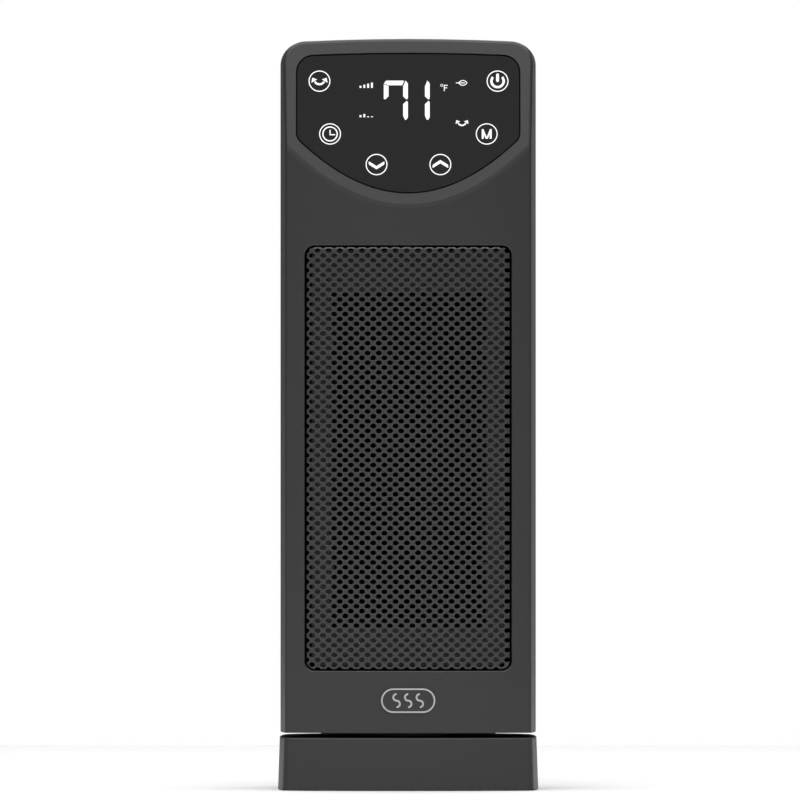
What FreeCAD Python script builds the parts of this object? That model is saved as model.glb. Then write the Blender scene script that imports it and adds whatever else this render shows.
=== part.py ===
"""Oscillating ceramic tower heater: a tall tower on a flat base, joined by a round geared neck.

Millimetres, +Z up. The origin is on the floor, at the centre of the base and on the turning axis.
The outlet faces -Y and the air intake faces +Y.
"""
import FreeCAD, Part
import math
import os
from FreeCAD import Vector

# Overall form
HEIGHT = 551.7
WIDTH = 188.3
DEPTH = 178.0
FRONT_R = 430.0            # the front is a gentle vertical cylinder
SIDE_R = 640.0             # the sides bow out a little
BACK_R = 400.0
BACK_CORNER_R = 42.0
WIDEST_Y = -9.0
TOP_ARCH_R = 1600.0
TOP_EDGE_R = 16.8
EDGE_R = 4.0               # rounding between the front and the sides
RIM_R = 2.4                # rounding between the control face, the top and the sides
WALL = 2.4
SPLIT_Y = 25.0             # where the front and rear housings meet, in a shallow groove
SEAM_WIDE = 0.6
SEAM_DEEP = 0.4
BODY_BOTTOM = 42.4
FRONT_Y = -DEPTH / 2
BACK_Y = DEPTH / 2

# Control face: a plane leaning back, which cuts the curved front in a smile-shaped crease
TILT = 12.0
CREASE_Z = 428.5
CREASE_R = 14.0
SIN_T = math.sin(math.radians(TILT))
COS_T = math.cos(math.radians(TILT))
LENS_MARGIN = 10.6         # from the crease to the lens, square to the crease
LENS_HALF = 81.3
LENS_TOP = 114.5           # up the face from the lowest point of the crease
LENS_THICK = 2.0
LENS_SUNK = 0.3
LENS_GAP = 1.1
LEDGE = 3.0
BOARD_DEPTH = 12.0
KEYS = [(-65.2, 93.4), (-57.4, 54.4), (-23.4, 31.4)]   # left half, mirrored on the right

# Outlet
GRILLE_W = 151.5
GRILLE_H = 311.8
GRILLE_Z = 243.9
GRILLE_CORNER = 7.3
OPENING_EDGE_R = 0.9
GRILLE_GAP = 1.3
GRILLE_SUNK = 0.5
GRILLE_THICK = 1.6
APERTURE_W = 114.0
APERTURE_H = 245.5
APERTURE_Z = 242.6
DUCT_Y = -77.5
SURROUND_W = 141.6
SURROUND_H = 304.6
DUCT_END = -46.0
HEATER_Y0 = -70.0
HEATER_Y1 = -50.0

# Fan
FAN_Y = 12.0
FAN_R = 28.0
FAN_Z0 = 124.0
FAN_Z1 = 361.0
BLADES = 24
SHAFT_R = 2.0
RUN_FIT = 0.05

# Intake
INTAKE_W = 124.0
INTAKE_Z0 = 117.0
INTAKE_Z1 = 375.0
FIT_GAP = 0.4

# Base and neck
BASE_TOP = 38.8
BASE_SPREAD = 0.5          # how far the base's top stands out beyond the tower
FOOT_SPREAD = 1.8          # and its foot
BASE_WALL = 2.5
SKIRT_Z = 0.5
NECK_R = 64.5
NECK_Z0 = 39.3
PIVOT_R = 18.0
PIVOT_BORE = 14.0
PIVOT_Z0 = 20.0

# Oscillation gears
MODULE = 0.8
GEAR_TEETH = 75
PINION_TEETH = 15
PRESSURE = math.radians(25.0)
GEAR_Z0 = 24.0
GEAR_Z1 = 30.0
MESH_Y = MODULE * (GEAR_TEETH + PINION_TEETH) / 2
MOTOR_Y = MESH_Y + 8.0
MOTOR_EAR_X = 24.5
SCREW_R = 1.5
PILOT_R = 1.6
CLEAR_R = 1.7
HEAD_R = 3.1

BASE_SCREWS = [(-70.0, -55.0), (70.0, -55.0), (-66.0, 55.0), (66.0, 55.0)]
FOOT_SPOTS = [(-72.0, -68.0), (72.0, -68.0), (-60.0, 68.0), (60.0, 68.0)]
NECK_SCREW_AT = 52.0
CASE_SCREWS = [(-77.0, 62.0), (77.0, 62.0), (-77.0, 428.0), (77.0, 428.0)]
GLAND_X = 40.0
GLAND_Z = 18.0
TIP_X = -50.0
TIP_Y = -40.0


# ---------------------------------------------------------------- helpers

def save(node, *solids):
    """Write one sub-part, of one solid or of several alike."""
    shape = solids[0] if len(solids) == 1 else Part.makeCompound(list(solids))
    shape.exportStep("parts/" + node + ".step")
    print(node, "solids", len(shape.Solids), "valid", shape.isValid(), "volume", round(shape.Volume))


def box(x0, x1, y0, y1, z0, z1):
    return Part.makeBox(x1 - x0, y1 - y0, z1 - z0, Vector(x0, y0, z0))


def post(x, y, z0, z1, radius):
    return Part.makeCylinder(radius, z1 - z0, Vector(x, y, z0))


def rod(x, z, y0, y1, radius):
    """A cylinder that lies along Y."""
    return Part.makeCylinder(radius, y1 - y0, Vector(x, y0, z), Vector(0, 1, 0))


def ring(x, y, z0, z1, outer, inner):
    return post(x, y, z0, z1, outer).cut(post(x, y, z0, z1, inner))


def along(shape, axis):
    """The straight edges of a shape that run along 'x', 'y' or 'z'."""
    found = []
    for edge in shape.Edges:
        span = edge.Vertexes[-1].Point - edge.Vertexes[0].Point
        if span.Length > 0.01 and abs(abs(getattr(span, axis)) - edge.Length) < 1e-4:
            found.append(edge)
    return found


def slab(width, height, radius, y0, y1, z_mid):
    """A block with rounded corners, square to Y."""
    block = box(-width / 2, width / 2, y0, y1, z_mid - height / 2, z_mid + height / 2)
    return block.makeFillet(radius, along(block, "y"))


def fuse(first, *others):
    return first.multiFuse(list(others)).removeSplitter()


def both_sides(spots):
    return spots + [(-x, v) for x, v in spots]


# ---------------------------------------------------------------- outer form

def plan_prism(inset, z0, z1, rounded=True):
    """The plan of tower and base, every side moved in by inset."""
    centre = SIDE_R - WIDTH / 2
    left = post(centre, WIDEST_Y, z0, z1, SIDE_R - inset)
    right = post(-centre, WIDEST_Y, z0, z1, SIDE_R - inset)
    back = post(0, BACK_Y - BACK_R, z0, z1, BACK_R - inset)
    shape = left.common(right).common(back).common(box(-120, 120, FRONT_Y - 40, 120, z0, z1))
    rear_edges = [edge for edge in along(shape, "z") if edge.CenterOfMass.y > 0]
    shape = shape.makeFillet(BACK_CORNER_R - inset, rear_edges)
    if rounded:
        shape = shape.common(post(0, FRONT_Y + FRONT_R, z0, z1, FRONT_R - inset))
        front_edges = [edge for edge in along(shape, "z") if edge.CenterOfMass.y < -60]
        shape = shape.makeFillet(max(EDGE_R - inset, 0.5), front_edges)
    return shape


def control_plane_face(shape):
    """The flat face of a tower form that leans back."""
    outward = Vector(0, -COS_T, SIN_T)
    flat = [face for face in shape.Faces if face.Surface.TypeId == "Part::GeomPlane"]
    leaning = [face for face in flat if face.normalAt(0, 0).dot(outward) > 0.999]
    return max(leaning, key=lambda face: face.Area)


def tower_form(inset, bottom):
    """The tower as a solid, every wall moved in by inset."""
    shape = plan_prism(inset, bottom, HEIGHT + 5, rounded=False)
    arch = rod(0, HEIGHT - TOP_ARCH_R, -200, 200, TOP_ARCH_R - inset)
    shape = shape.common(arch)
    rim = []
    for edge in shape.Edges:
        if edge.CenterOfMass.z > HEIGHT - 20 and edge.BoundBox.YMax > FRONT_Y - 39:
            rim.append(edge)
    shape = shape.makeFillet(TOP_EDGE_R - inset, rim)
    shape = shape.common(post(0, FRONT_Y + FRONT_R, bottom, HEIGHT + 5, FRONT_R - inset))
    off_cut = on_control_face(box(-200, 200, -200, inset, -30, 400))
    shape = shape.cut(off_cut)
    if inset > 0:
        return shape
    crease = [edge for edge in control_plane_face(shape).Edges if edge.CenterOfMass.z < CREASE_Z + 30]
    shape = shape.makeFillet(CREASE_R, crease)
    upper = [edge for edge in control_plane_face(shape).Edges if edge.CenterOfMass.z > CREASE_Z + 30]
    return shape.makeFillet(RIM_R, upper)


def on_control_face(shape):
    """Lay a shape on the control face: X across, Z up the face, -Y out of it."""
    shape.rotate(Vector(0, 0, 0), Vector(1, 0, 0), -TILT)
    shape.translate(Vector(0, FRONT_Y, CREASE_Z))
    return shape


def lens_blank(grow, near, far):
    """The lens outline, grown all round, between two depths behind the control face."""
    margin = LENS_MARGIN - grow
    curve = 1 / (2 * FRONT_R * SIN_T)
    points = []
    for step in range(-6, 7):
        u = step * 16.0
        slope = 2 * curve * u
        length = math.sqrt(1 + slope * slope)
        points.append(Vector(u - margin * slope / length, near, curve * u * u + margin / length))
    smile = Part.BSplineCurve()
    smile.interpolate(points)
    first, last = points[0], points[-1]
    high = LENS_TOP + 20
    corners = [last, Vector(last.x, near, high), Vector(first.x, near, high), first]
    outline = Part.Wire([smile.toShape()] + Part.makePolygon(corners).Edges)
    blank = Part.Face(outline).extrude(Vector(0, far - near, 0))
    half = LENS_HALF + grow
    blank = blank.common(box(-half, half, near - 1, far + 1, -10, high))
    blank = blank.common(rod(0, LENS_TOP + grow - TOP_ARCH_R, near - 1, far + 1, TOP_ARCH_R))
    blank = blank.Solids[0]
    upper = [edge for edge in along(blank, "y") if edge.CenterOfMass.z > 90 and abs(edge.CenterOfMass.x) > 1]
    blank = blank.makeFillet(12.0 + grow, upper)
    lower = [edge for edge in along(blank, "y") if edge.CenterOfMass.z < 70]
    blank = blank.makeFillet(9.0 + grow, lower)
    return on_control_face(blank)


# ---------------------------------------------------------------- base, which stands still

def base_cover():
    foot = plan_prism(-FOOT_SPREAD, SKIRT_Z, SKIRT_Z + 1).Faces
    head = plan_prism(-BASE_SPREAD, BASE_TOP - 1, BASE_TOP).Faces
    bottom_wire = min(foot, key=lambda face: face.CenterOfMass.z).OuterWire
    top_wire = max(head, key=lambda face: face.CenterOfMass.z).OuterWire
    outer = Part.makeLoft([bottom_wire, top_wire], True, True)
    top_rim = [edge for edge in outer.Edges if edge.BoundBox.ZMin > BASE_TOP - 0.1]
    outer = outer.makeFillet(1.2, top_rim)
    cover = outer.cut(plan_prism(BASE_WALL, SKIRT_Z - 1, BASE_TOP - BASE_WALL))
    bosses = [post(x, y, 4.0, BASE_TOP - 1, 4.0) for x, y in BASE_SCREWS]
    bosses += [post(x, MOTOR_Y, 21.0, BASE_TOP - 1, 3.5) for x in (-MOTOR_EAR_X, MOTOR_EAR_X)]
    cover = fuse(cover, *bosses)
    cuts = [post(x, y, 3.0, 20.0, PILOT_R) for x, y in BASE_SCREWS]
    cuts += [post(x, MOTOR_Y, 20.0, 31.0, PILOT_R) for x in (-MOTOR_EAR_X, MOTOR_EAR_X)]
    cuts.append(post(0, 0, BASE_TOP - 5, BASE_TOP + 1, PIVOT_R + 2.5))
    cuts.append(rod(GLAND_X, GLAND_Z, 75, 100, 6.0))
    save("base_cover", cover.cut(Part.makeCompound(cuts)))


def base_plate():
    plate = plan_prism(BASE_WALL + 0.2, 1.5, 4.0)
    cuts = [post(x, y, 1.0, 2.6, 8.2) for x, y in FOOT_SPOTS]
    for x, y in BASE_SCREWS:
        cuts.append(post(x, y, 1.0, 3.2, 3.4))
        cuts.append(post(x, y, 1.0, 5.0, CLEAR_R))
    cuts.append(post(TIP_X, TIP_Y, 1.0, 5.0, 3.0 + RUN_FIT))
    save("base_plate", plate.cut(Part.makeCompound(cuts)))
    save("base_screws", *[cap_screw(x, y, 1.6, 1.5, 14.0) for x, y in BASE_SCREWS])
    feet = []
    for x, y in FOOT_SPOTS:
        pad = post(x, y, 0, 2.6, 8.0)
        sole = [edge for edge in pad.Edges if edge.BoundBox.ZMax < 0.1]
        feet.append(pad.makeFillet(0.8, sole))
    save("rubber_feet", *feet)


def cap_screw(x, y, z_head, head, length):
    """A screw put in from below, head down, with a cross recess."""
    screw = post(x, y, z_head, z_head + head, HEAD_R).fuse(post(x, y, z_head, z_head + length, SCREW_R))
    cross = [box(x - 1.8, x + 1.8, y - 0.35, y + 0.35, z_head - 1, z_head + 0.8),
             box(x - 0.35, x + 0.35, y - 1.8, y + 1.8, z_head - 1, z_head + 0.8)]
    return screw.cut(Part.makeCompound(cross)).removeSplitter()


def neck_bearings():
    bush = ring(0, 0, 34.8, BASE_TOP, PIVOT_R + 2.5, PIVOT_R + RUN_FIT)
    flange = ring(0, 0, 34.8, BASE_TOP - BASE_WALL, 24.0, PIVOT_R + RUN_FIT)
    save("pivot_bush", fuse(bush, flange))
    save("slide_ring", ring(0, 0, BASE_TOP, NECK_Z0 - 0.1, 46.0, 36.0))


def gear_outline(teeth, tooth_list, phase, backlash=0.10):
    """Involute tooth points, as (radius, angle), for the teeth asked for; the rest stays at the root."""
    pitch_r = MODULE * teeth / 2
    base_r = pitch_r * math.cos(PRESSURE)
    tip_r = pitch_r + 0.8 * MODULE
    root_r = pitch_r - 1.05 * MODULE
    start_r = max(base_r, root_r)
    half = math.pi / (2 * teeth) - backlash / (2 * pitch_r)
    inv_pitch = math.tan(PRESSURE) - PRESSURE
    points = []
    for tooth in tooth_list:
        middle = phase + 2 * math.pi * tooth / teeth
        flank = []
        for step in range(5):
            radius = start_r + (tip_r - start_r) * step / 4
            angle = math.acos(base_r / radius)
            flank.append((radius, half + inv_pitch - (math.tan(angle) - angle)))
        foot = min(flank[0][1], math.pi / teeth * 0.98)
        points.append((root_r, middle - foot))
        points += [(radius, middle - spread) for radius, spread in flank]
        points += [(radius, middle + spread) for radius, spread in reversed(flank)]
        points.append((root_r, middle + foot))
    return root_r, points


def polygon_prism(polar, z0, z1, cx=0.0, cy=0.0):
    corners = [Vector(cx + r * math.cos(a), cy + r * math.sin(a), z0) for r, a in polar]
    corners.append(corners[0])
    return Part.Face(Part.makePolygon(corners)).extrude(Vector(0, 0, z1 - z0))


def sector_gear():
    """Teeth over the rear quarter only; the rest of the rim is plain."""
    root_r, points = gear_outline(GEAR_TEETH, range(-9, 10), math.pi / 2)
    start = points[-1][1]
    sweep = 2 * math.pi - (points[-1][1] - points[0][1])
    plain = [(root_r, start + sweep * step / 48) for step in range(1, 48)]
    gear = polygon_prism(points + plain, GEAR_Z0, GEAR_Z1)
    hub = post(0, 0, GEAR_Z0, 34.4, 22.0)
    bore = post(0, 0, GEAR_Z0 - 1, 36.0, PIVOT_R + 0.02)
    save("sector_gear", fuse(gear, hub).cut(bore))
    clip = ring(0, 0, 22.6, 23.8, 21.5, PIVOT_R - 1.0)
    save("pivot_circlip", clip.cut(box(-5, 5, -25, -10, 22, 25)))


def drive_pinion():
    phase = -math.pi / 2 + math.pi / PINION_TEETH
    points = gear_outline(PINION_TEETH, range(PINION_TEETH), phase)[1]
    gear = polygon_prism(points, GEAR_Z0 - 0.5, GEAR_Z1 + 0.5, 0, MESH_Y)
    save("drive_pinion", gear.cut(post(0, MESH_Y, GEAR_Z0 - 1, GEAR_Z1 + 1, 2.5)))
    shaft = post(0, MESH_Y, 15.0, 31.5, 2.5)
    save("motor_shaft", shaft.makeChamfer(0.4, [e for e in shaft.Edges if e.BoundBox.ZMin > 31]))


def oscillation_motor():
    can = post(0, MOTOR_Y, 5.0, 21.0, 21.0)
    can = can.makeFillet(1.0, [edge for edge in can.Edges if edge.BoundBox.ZMax < 5.1])
    ears = box(-30, 30, MOTOR_Y - 4, MOTOR_Y + 4, 19.5, 21.0)
    ears = ears.makeFillet(3.9, along(ears, "z"))
    connector = box(-8, 8, MOTOR_Y + 18, MOTOR_Y + 26, 7.0, 15.0)
    motor = fuse(can, ears, connector)
    cuts = [post(x, MOTOR_Y, 18, 22, CLEAR_R) for x in (-MOTOR_EAR_X, MOTOR_EAR_X)]
    cuts.append(post(0, MESH_Y, 14.6, 22, 2.5 + RUN_FIT))
    save("oscillation_motor", motor.cut(Part.makeCompound(cuts)))
    screws = [cap_screw(x, MOTOR_Y, 17.5, 2.0, 11.5) for x in (-MOTOR_EAR_X, MOTOR_EAR_X)]
    save("motor_screws", *screws)


def tip_switch():
    """The switch sits over a plunger, which drops out of the base when it is lifted or tipped."""
    case = box(TIP_X - 10, TIP_X + 10, TIP_Y - 4, TIP_Y + 4, 9.2, 20.0)
    legs = [box(TIP_X + x, TIP_X + x + 3, TIP_Y - 4, TIP_Y + 4, 4.0, 20.0) for x in (-13, 10)]
    save("tip_switch", fuse(case, *legs))
    plunger = fuse(post(TIP_X, TIP_Y, 0.3, 9.0, 3.0), post(TIP_X, TIP_Y, 7.6, 9.0, 4.6))
    nose = [edge for edge in plunger.Edges if edge.BoundBox.ZMax < 0.4]
    save("tip_plunger", plunger.makeFillet(1.0, nose))


def base_wiring():
    gland = fuse(rod(GLAND_X, GLAND_Z, 74.0, 87.4, 5.98), rod(GLAND_X, GLAND_Z, 81.0, 83.2, 8.5))
    save("cord_gland", gland.cut(rod(GLAND_X, GLAND_Z, 70, 90, 3.5)))
    block = box(30, 60, -32, -16, 4.0, 17.0)
    wells = [post(x, y, 11.0, 18.0, 2.2) for x in (35, 45, 55) for y in (-28, -20)]
    save("terminal_block", block.cut(Part.makeCompound(wells)))


# ---------------------------------------------------------------- neck and floor of the tower

def turntable():
    disc = post(0, 0, NECK_Z0, BODY_BOTTOM, NECK_R)
    disc = disc.makeFillet(0.6, [edge for edge in disc.Edges if edge.BoundBox.ZMax < NECK_Z0 + 0.1])
    body = fuse(disc, post(0, 0, PIVOT_Z0, NECK_Z0 + 1, PIVOT_R))
    cuts = [post(0, 0, PIVOT_Z0 - 1, BODY_BOTTOM + 1, PIVOT_BORE)]
    cuts.append(ring(0, 0, 22.5, 23.9, PIVOT_R + 1, PIVOT_R - 1.02))
    for x, y in neck_screw_spots():
        cuts.append(post(x, y, NECK_Z0 - 1, NECK_Z0 + 1.9, 3.4))
        cuts.append(post(x, y, NECK_Z0 - 1, BODY_BOTTOM + 1, CLEAR_R))
    save("turntable", body.cut(Part.makeCompound(cuts)))


def neck_screw_spots():
    quarter = NECK_SCREW_AT * math.sqrt(0.5)
    return [(x, y) for x in (-quarter, quarter) for y in (-quarter, quarter)]


def tower_floor():
    plate = plan_prism(WALL + 0.2, BODY_BOTTOM, BODY_BOTTOM + 3)
    bosses = [post(x, y, BODY_BOTTOM, BODY_BOTTOM + 9, 4.0) for x, y in neck_screw_spots()]
    plate = fuse(plate, *bosses)
    cuts = [post(x, y, BODY_BOTTOM - 1, BODY_BOTTOM + 10, PILOT_R) for x, y in neck_screw_spots()]
    cuts.append(post(0, 0, BODY_BOTTOM - 1, BODY_BOTTOM + 4, PIVOT_BORE))
    save("tower_floor", plate.cut(Part.makeCompound(cuts)))
    screws = [cap_screw(x, y, NECK_Z0 + 0.3, 1.6, 11.0) for x, y in neck_screw_spots()]
    save("floor_screws", *screws)


# ---------------------------------------------------------------- housings

def seam_groove(outer):
    """The shallow groove round the back edge of the front housing, where the rear one meets it."""
    skin = outer.cut(tower_form(SEAM_DEEP, BODY_BOTTOM - 5))
    return skin.common(box(-150, 150, SPLIT_Y - SEAM_WIDE, SPLIT_Y, 0, 600))


def front_housing(outer, cavity, middle, seam):
    front_half = box(-150, 150, -150, SPLIT_Y, 0, 600)
    shell = outer.cut(cavity).common(front_half)
    ledge = lens_blank(LEDGE, 1.0, LENS_SUNK + LENS_THICK + 2.0)
    ledge = ledge.cut(lens_blank(-LEDGE, 0.0, 20.0)).common(middle)
    bosses = [rod(x, z, FRONT_Y - 5, SPLIT_Y, 4.5).common(middle) for x, z in CASE_SCREWS]
    shell = fuse(shell, ledge, *bosses)
    cuts = [seam, lens_blank(LENS_GAP, -10.0, LENS_SUNK + LENS_THICK), lens_blank(-LEDGE, 0.0, 6.0)]
    cuts.append(slab(GRILLE_W, GRILLE_H, GRILLE_CORNER, FRONT_Y - 10, -70, GRILLE_Z))
    cuts += [rod(x, z, 0, SPLIT_Y + 1, PILOT_R) for x, z in CASE_SCREWS]
    for cut in cuts:
        shell = shell.cut(cut)
    save("front_housing", shell.makeFillet(OPENING_EDGE_R, opening_rim(shell)))


def opening_rim(shell):
    """The edges where the outlet opening meets the outer surface of the front."""
    rim = []
    for edge in shell.Edges:
        half_way = edge.valueAt((edge.FirstParameter + edge.LastParameter) / 2)
        from_axis = math.hypot(half_way.x, half_way.y - FRONT_Y - FRONT_R)
        inside = abs(half_way.x) < GRILLE_W / 2 + 0.1 and abs(half_way.z - GRILLE_Z) < GRILLE_H / 2 + 0.1
        if inside and half_way.y < 0 and abs(from_axis - FRONT_R) < 0.01:
            rim.append(edge)
    return rim


def rear_housing(outer, cavity, middle):
    rear_half = box(-150, 150, SPLIT_Y, 150, 0, 600)
    shell = outer.cut(cavity).common(rear_half)
    liner = box(-44.4, 44.4, 63.6, 100, 494.6, 533.4).common(middle)
    bosses = [rod(x, z, SPLIT_Y, 100, 5.5).common(middle) for x, z in CASE_SCREWS]
    shell = fuse(shell, liner, *bosses)
    grip = box(-42, 42, 66, 120, 497, 531)
    grip = grip.makeFillet(8.0, along(grip, "y"))
    cuts = [grip, intake_block(0)]
    for x, z in CASE_SCREWS:
        cuts.append(rod(x, z, SPLIT_Y - 1, 100, CLEAR_R))
        cuts.append(rod(x, z, SPLIT_Y + 8, 100, 3.7))
    for cut in cuts:
        shell = shell.cut(cut)
    save("rear_housing", shell)
    screws = []
    for x, z in CASE_SCREWS:
        screw = fuse(rod(x, z, SPLIT_Y + 8, SPLIT_Y + 10.2, HEAD_R), rod(x, z, SPLIT_Y - 14, SPLIT_Y + 9, SCREW_R))
        screws.append(screw)
    save("housing_screws", *screws)


def intake_block(gap):
    middle = (INTAKE_Z0 + INTAKE_Z1) / 2
    height = INTAKE_Z1 - INTAKE_Z0
    return slab(INTAKE_W - 2 * gap, height - 2 * gap, 6.0, 60, 120, middle)


def intake_grille(outer, cavity):
    panel = outer.cut(cavity).common(intake_block(FIT_GAP))
    slots = []
    rows = 36
    pitch = 6.5
    middle = (INTAKE_Z0 + INTAKE_Z1) / 2
    for row in range(rows):
        z = middle + (row - (rows - 1) / 2) * pitch
        slots += [box(-54, -2.5, 60, 120, z - 1.7, z + 1.7), box(2.5, 54, 60, 120, z - 1.7, z + 1.7)]
    save("intake_grille", panel.cut(Part.makeCompound(slots)))
    frame = box(-58, 58, 74, 79, INTAKE_Z0 + 5, INTAKE_Z1 - 5)
    windows = []
    for x0, x1 in ((-54, -2), (2, 54)):
        for z0, z1 in ((INTAKE_Z0 + 9, 248), (252, INTAKE_Z1 - 9)):
            windows.append(box(x0, x1, 73, 76, z0, z1))
            windows.append(box(x0, x1, 77, 80, z0, z1))
    save("air_filter", frame.cut(Part.makeCompound(windows)))


def outlet_grille():
    inner_r = FRONT_R - GRILLE_SUNK - GRILLE_THICK
    z0 = GRILLE_Z - GRILLE_H / 2
    z1 = GRILLE_Z + GRILLE_H / 2
    centre_y = FRONT_Y + FRONT_R
    shell = ring(0, centre_y, z0, z1, inner_r + GRILLE_THICK, inner_r)
    width = GRILLE_W - 2 * GRILLE_GAP
    height = GRILLE_H - 2 * GRILLE_GAP
    panel = shell.common(slab(width, height, GRILLE_CORNER - GRILLE_GAP, FRONT_Y, -70, GRILLE_Z))
    columns, rows, pitch_x, pitch_z = 17, 24, 8.22, 12.5
    slots = []
    for column in range(columns):
        x = (column - (columns - 1) / 2) * pitch_x
        for row in range(rows):
            z = GRILLE_Z + (row - (rows - 1) / 2) * pitch_z
            slots.append(box(x - 2.1, x + 2.1, FRONT_Y - 1, -70, z - 4.6, z + 4.6))
    save("outlet_grille", panel.cut(Part.makeCompound(slots)))


def badge():
    """A plain oval plate on the front, under the grille."""
    plate = slab(40.8, 19.0, 9.4, FRONT_Y - 2, FRONT_Y + 3, 66.2)
    centre_y = FRONT_Y + FRONT_R
    save("badge", plate.common(ring(0, centre_y, 50, 80, FRONT_R + 0.7, FRONT_R)))


# ---------------------------------------------------------------- control panel

def control_panel():
    lens = lens_blank(0.0, LENS_SUNK, LENS_SUNK + LENS_THICK)
    save("control_lens", lens)
    board = box(-70, 70, BOARD_DEPTH, BOARD_DEPTH + 1.6, 18, 104)
    board = board.makeFillet(20.0, [e for e in along(board, "y") if e.CenterOfMass.z < 30])
    save("display_board", on_control_face(board))
    module = box(-38, 47, LENS_SUNK + LENS_THICK + 0.4, BOARD_DEPTH, 58, 97)
    save("display_module", on_control_face(module))
    pads = []
    for u, v in both_sides(KEYS):
        pads.append(on_control_face(rod(u, v, LENS_SUNK + LENS_THICK, BOARD_DEPTH, 7.0)))
    save("touch_pads", *pads)


# ---------------------------------------------------------------- heater

def duct_frame():
    """The surround behind the grille, with a tunnel that holds the heater."""
    plate = slab(SURROUND_W, SURROUND_H, 6.0, DUCT_Y, DUCT_Y + 2.5, GRILLE_Z)
    tunnel = slab(APERTURE_W + 4, APERTURE_H + 4, 3.0, DUCT_Y, DUCT_END, APERTURE_Z)
    hole = slab(APERTURE_W, APERTURE_H, 1.5, DUCT_Y - 5, DUCT_END + 5, APERTURE_Z)
    save("duct_frame", fuse(plate, tunnel).cut(hole))


def heater():
    outer = slab(APERTURE_W - 0.6, APERTURE_H - 0.6, 1.2, HEATER_Y0, HEATER_Y1, APERTURE_Z)
    window = slab(APERTURE_W - 10, APERTURE_H - 14, 1.0, HEATER_Y0 - 5, HEATER_Y1 + 5, APERTURE_Z)
    save("heater_frame", outer.cut(window))
    z0 = APERTURE_Z - APERTURE_H / 2 + 7
    z1 = APERTURE_Z + APERTURE_H / 2 - 7
    bar_half = 2.5
    bars = [-39.0, -13.0, 13.0, 39.0]
    front, rear = HEATER_Y0 + 2, HEATER_Y1 - 2
    save("ptc_elements", *[box(x - bar_half, x + bar_half, front, rear, z0, z1) for x in bars])
    edges = [-(APERTURE_W / 2 - 5)] + bars + [APERTURE_W / 2 - 5]
    fins = []
    pitch = 5.8
    count = int((z1 - z0) / pitch)
    for left, right in zip(edges[:-1], edges[1:]):
        x0 = left + (bar_half if left in bars else 0)
        x1 = right - (bar_half if right in bars else 0)
        for row in range(count):
            z = z0 + (row + 0.5) * pitch
            fins.append(box(x0, x1, front, rear, z, z + 0.5))
    save("heater_fins", *fins)


def heater_trim():
    clips = []
    for side in (-1, 1):
        for z in (164.5, 325.7):
            edge_x = side * APERTURE_W / 2
            face = box(min(edge_x - 2.5 * side, edge_x + 3 * side), max(edge_x - 2.5 * side, edge_x + 3 * side),
                       DUCT_Y - 0.8, DUCT_Y, z - 3, z + 3)
            leg_x0, leg_x1 = sorted((edge_x - 0.8 * side, edge_x - 2.5 * side))
            leg = box(leg_x0, leg_x1, DUCT_Y - 0.8, HEATER_Y0, z - 3, z + 3)
            clips.append(fuse(face, leg))
    save("heater_clips", *clips)
    top = APERTURE_Z + APERTURE_H / 2 + 2
    save("thermal_cutoff", fuse(post(22, -60, top, top + 7, 8.0), box(12, 32, -62, -58, top, top + 2)))
    save("room_sensor", fuse(box(50, 58, 66, 70, 92, 106), post(54, 68, 106, 111, 1.6)))


# ---------------------------------------------------------------- cross-flow fan

def fan_scroll():
    """Spiral rear wall, straight cut-off wall and two end plates, in one moulding."""
    z0, z1 = FAN_Z0 - 5, FAN_Z1 + 5
    side = APERTURE_W / 2
    end_y = DUCT_END + 0.5

    def on_ring(radius, degrees):
        angle = math.radians(degrees)
        return Vector(radius * math.cos(angle), FAN_Y + radius * math.sin(angle), z0)

    near, far = FAN_R + 8.0, FAN_R + 10.0
    sweep = (104.0, 42.0, -20.0)
    inner = Part.Arc(*[on_ring(near, degrees) for degrees in sweep])
    outer = Part.Arc(*[on_ring(far, degrees) for degrees in reversed(sweep)])
    lip = [on_ring(near, sweep[2]), Vector(side, end_y, z0), Vector(side + 2, end_y, z0), on_ring(far, sweep[2])]
    edges = [inner.toShape()] + Part.makePolygon(lip).Edges + [outer.toShape()]
    edges.append(Part.LineSegment(on_ring(far, sweep[0]), on_ring(near, sweep[0])).toShape())
    spiral = Part.Face(Part.Wire(edges)).extrude(Vector(0, 0, z1 - z0))
    corners = [(-side, end_y), (-32.5, FAN_Y - 10), (-34.5, FAN_Y - 8.5), (-side - 2, end_y)]
    points = [Vector(x, y, z0) for x, y in corners]
    tongue = Part.Face(Part.makePolygon(points + points[:1])).extrude(Vector(0, 0, z1 - z0))
    plates = [box(-side - 2, side + 2, end_y, FAN_Y + 38, z, z + 2.5) for z in (z0 - 2.5, z1)]
    scroll = fuse(spiral, tongue, *plates)
    cuts = [post(0, FAN_Y, z0 - 5, z0 + 1, 5.0), post(0, FAN_Y, z1 - 1, z1 + 5, 7.0)]
    save("fan_scroll", scroll.cut(Part.makeCompound(cuts)))


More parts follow.
